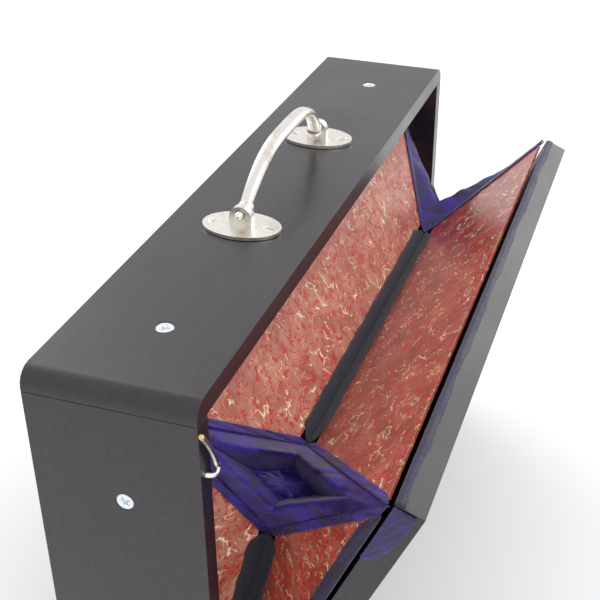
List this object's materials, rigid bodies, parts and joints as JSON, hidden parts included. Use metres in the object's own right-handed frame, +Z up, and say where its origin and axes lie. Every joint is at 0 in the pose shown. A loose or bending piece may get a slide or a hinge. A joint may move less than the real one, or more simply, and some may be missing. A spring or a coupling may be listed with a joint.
{
  "type": "shruti box",
  "caption": "Bellows-driven drone box: lacquered case, hinged pump board with folding ribs, sprung reservoir, reeds with pivoting stops, carrying handle and turn hook.",
  "frame": {"origin": "centre of the underside of the case", "axes": "+X along the case, the pump bellows opens towards -Y, the note stops are at +Y, +Z up"},
  "size_m": [0.422, 0.1721, 0.305],
  "materials": {
    "black_lacquer": "satin black lacquer",
    "stained_wood": "dark stained wood",
    "marbled_paper": "marbled paper on stiff card",
    "purple_leather": "soft purple leather",
    "pale_leather": "undyed valve leather",
    "cloth_tape": "navy bookcloth tape",
    "zinc_plate": "bright zinc plate",
    "nickel_plate": "nickel-plated casting",
    "spring_steel": "spring steel",
    "reed_brass": "rolled brass",
    "ivory": "ivory-coloured plastic",
    "ebony": "black plastic"
  },
  "bodies": {
    "case": {"top_board": "black_lacquer", "bottom_board": "black_lacquer", "left_end_board": "black_lacquer", "right_end_board": "black_lacquer", "centre_board": "stained_wood", "pump_rail": "stained_wood", "chest_lower_rail": "stained_wood", "chest_upper_rail": "stained_wood", "note_board": "stained_wood", "reed_bank": "reed_brass", "reservoir_sill": "stained_wood", "reservoir_bellows": "purple_leather", "reservoir_hinge_strip": "pale_leather", "left_reservoir_spring": "spring_steel", "right_reservoir_spring": "spring_steel", "left_handle_plate": "nickel_plate", "right_handle_plate": "nickel_plate", "pump_hinge_strip": "pale_leather", "top_valley_tape": "cloth_tape", "left_valley_tape": "cloth_tape", "right_valley_tape": "cloth_tape", "left_gusset": "purple_leather", "right_gusset": "purple_leather", "top_left_screw": "zinc_plate", "top_right_screw": "zinc_plate", "bottom_left_screw": "zinc_plate", "bottom_right_screw": "zinc_plate", "left_lower_screw": "zinc_plate", "left_upper_screw": "zinc_plate", "right_lower_screw": "zinc_plate", "right_upper_screw": "zinc_plate", "handle_screw_1": "nickel_plate", "handle_screw_2": "nickel_plate", "handle_screw_3": "nickel_plate", "handle_screw_4": "nickel_plate"},
    "pump_board": {"pump_board": "black_lacquer"},
    "top_rib_case": {"top_rib_case": "marbled_paper"},
    "top_rib_pump": {"top_rib_pump": "marbled_paper"},
    "left_rib_case": {"left_rib_case": "marbled_paper"},
    "left_rib_pump": {"left_rib_pump": "marbled_paper"},
    "right_rib_case": {"right_rib_case": "marbled_paper"},
    "right_rib_pump": {"right_rib_pump": "marbled_paper"},
    "inlet_valve": {"inlet_valve": "pale_leather"},
    "transfer_valve": {"transfer_valve": "pale_leather"},
    "reservoir_board": {"reservoir_board": "stained_wood"},
    "handle_bail": {"handle_bail": "nickel_plate"},
    "turn_hook": {"turn_hook": "nickel_plate"},
    "note_stop_01": {"note_stop_01": "ivory"},
    "note_stop_02": {"note_stop_02": "ebony"},
    "note_stop_03": {"note_stop_03": "ivory"},
    "note_stop_04": {"note_stop_04": "ebony"},
    "note_stop_05": {"note_stop_05": "ivory"},
    "note_stop_06": {"note_stop_06": "ivory"},
    "note_stop_07": {"note_stop_07": "ebony"},
    "note_stop_08": {"note_stop_08": "ivory"},
    "note_stop_09": {"note_stop_09": "ebony"},
    "note_stop_10": {"note_stop_10": "ivory"},
    "note_stop_11": {"note_stop_11": "ebony"},
    "note_stop_12": {"note_stop_12": "ivory"},
    "note_stop_13": {"note_stop_13": "ivory"}
  },
  "joints": [
    {"name": "pump_hinge", "type": "hinge", "parent": "case", "child": "pump_board", "pos_m": [0, -0.0264, 0.018], "axis": [1, 0, 0], "range_deg": [-23.6, 0], "deforming": ["left_gusset", "right_gusset", "top_valley_tape", "left_valley_tape", "right_valley_tape", "pump_hinge_strip"]},
    {"name": "top_rib_case_fold", "type": "hinge", "parent": "case", "child": "top_rib_case", "pos_m": [0, -0.0136, 0.251], "axis": [1, 0, 0], "range_deg": [0, 29]},
    {"name": "top_rib_pump_fold", "type": "hinge", "parent": "pump_board", "child": "top_rib_pump", "pos_m": [0, -0.11728, 0.23001], "axis": [1, 0, 0], "range_deg": [-28.3, 0]},
    {"name": "left_rib_case_fold", "type": "hinge", "parent": "case", "child": "left_rib_case", "pos_m": [-0.196, -0.0136, 0.018], "axis": [0, 0, 1], "range_deg": [0, 39]},
    {"name": "right_rib_case_fold", "type": "hinge", "parent": "case", "child": "right_rib_case", "pos_m": [0.196, -0.0136, 0.018], "axis": [0, 0, 1], "range_deg": [-39, 0]},
    {"name": "left_rib_pump_fold", "type": "hinge", "parent": "pump_board", "child": "left_rib_pump", "pos_m": [-0.196, -0.02493, 0.01864], "axis": [0, -0.4003, 0.9164], "range_deg": [-39, 0]},
    {"name": "right_rib_pump_fold", "type": "hinge", "parent": "pump_board", "child": "right_rib_pump", "pos_m": [0.196, -0.02493, 0.01864], "axis": [0, -0.4003, 0.9164], "range_deg": [0, 39]},
    {"name": "inlet_valve_lift", "type": "hinge", "parent": "pump_board", "child": "inlet_valve", "pos_m": [0, -0.06576, 0.10884], "axis": [1, 0, 0], "range_deg": [0, 9]},
    {"name": "transfer_valve_lift", "type": "hinge", "parent": "case", "child": "transfer_valve", "pos_m": [0, 0.0063, 0.109], "axis": [1, 0, 0], "range_deg": [0, 8]},
    {"name": "reservoir_hinge", "type": "hinge", "parent": "case", "child": "reservoir_board", "pos_m": [0, 0.016, 0.018], "axis": [-1, 0, 0], "range_deg": [0, 8], "stiffness_Nm_per_rad": 3, "springref_deg": -8.59, "deforming": ["reservoir_bellows", "reservoir_hinge_strip", "left_reservoir_spring", "right_reservoir_spring"]},
    {"name": "bail_swing", "type": "hinge", "parent": "case", "child": "handle_bail", "pos_m": [0, 0, 0.2783], "axis": [1, 0, 0], "range_deg": [-94, 78]},
    {"name": "hook_turn", "type": "hinge", "parent": "case", "child": "turn_hook", "pos_m": [-0.2035, -0.04, 0.232], "axis": [0, 1, 0], "range_deg": [0, 105]},
    {"name": "note_stop_01_turn", "type": "hinge", "parent": "case", "child": "note_stop_01", "pos_m": [-0.18, 0.0353, 0.236], "axis": [0, 1, 0], "range_deg": [-38, 0]},
    {"name": "note_stop_02_turn", "type": "hinge", "parent": "case", "child": "note_stop_02", "pos_m": [-0.15, 0.0353, 0.236], "axis": [0, 1, 0], "range_deg": [-38, 38]},
    {"name": "note_stop_03_turn", "type": "hinge", "parent": "case", "child": "note_stop_03", "pos_m": [-0.12, 0.0353, 0.236], "axis": [0, 1, 0], "range_deg": [-38, 38]},
    {"name": "note_stop_04_turn", "type": "hinge", "parent": "case", "child": "note_stop_04", "pos_m": [-0.09, 0.0353, 0.236], "axis": [0, 1, 0], "range_deg": [-38, 38]},
    {"name": "note_stop_05_turn", "type": "hinge", "parent": "case", "child": "note_stop_05", "pos_m": [-0.06, 0.0353, 0.236], "axis": [0, 1, 0], "range_deg": [-38, 38]},
    {"name": "note_stop_06_turn", "type": "hinge", "parent": "case", "child": "note_stop_06", "pos_m": [-0.03, 0.0353, 0.236], "axis": [0, 1, 0], "range_deg": [-38, 38]},
    {"name": "note_stop_07_turn", "type": "hinge", "parent": "case", "child": "note_stop_07", "pos_m": [0, 0.0353, 0.236], "axis": [0, 1, 0], "range_deg": [-38, 38]},
    {"name": "note_stop_08_turn", "type": "hinge", "parent": "case", "child": "note_stop_08", "pos_m": [0.03, 0.0353, 0.236], "axis": [0, 1, 0], "range_deg": [-38, 38]},
    {"name": "note_stop_09_turn", "type": "hinge", "parent": "case", "child": "note_stop_09", "pos_m": [0.06, 0.0353, 0.236], "axis": [0, 1, 0], "range_deg": [-38, 38]},
    {"name": "note_stop_10_turn", "type": "hinge", "parent": "case", "child": "note_stop_10", "pos_m": [0.09, 0.0353, 0.236], "axis": [0, 1, 0], "range_deg": [-38, 38]},
    {"name": "note_stop_11_turn", "type": "hinge", "parent": "case", "child": "note_stop_11", "pos_m": [0.12, 0.0353, 0.236], "axis": [0, 1, 0], "range_deg": [-38, 38]},
    {"name": "note_stop_12_turn", "type": "hinge", "parent": "case", "child": "note_stop_12", "pos_m": [0.15, 0.0353, 0.236], "axis": [0, 1, 0], "range_deg": [-38, 38]},
    {"name": "note_stop_13_turn", "type": "hinge", "parent": "case", "child": "note_stop_13", "pos_m": [0.18, 0.0353, 0.236], "axis": [0, 1, 0], "range_deg": [0, 38]}
  ],
  "couplings": [
    {"joint": "top_rib_case_fold", "follows": "pump_hinge", "ratio": -1.2123},
    {"joint": "top_rib_pump_fold", "follows": "pump_hinge", "ratio": 1.1822},
    {"joint": "left_rib_case_fold", "follows": "pump_hinge", "ratio": -1.6345},
    {"joint": "right_rib_case_fold", "follows": "pump_hinge", "ratio": 1.6345},
    {"joint": "left_rib_pump_fold", "follows": "pump_hinge", "ratio": 1.6345},
    {"joint": "right_rib_pump_fold", "follows": "pump_hinge", "ratio": -1.6345}
  ]
}
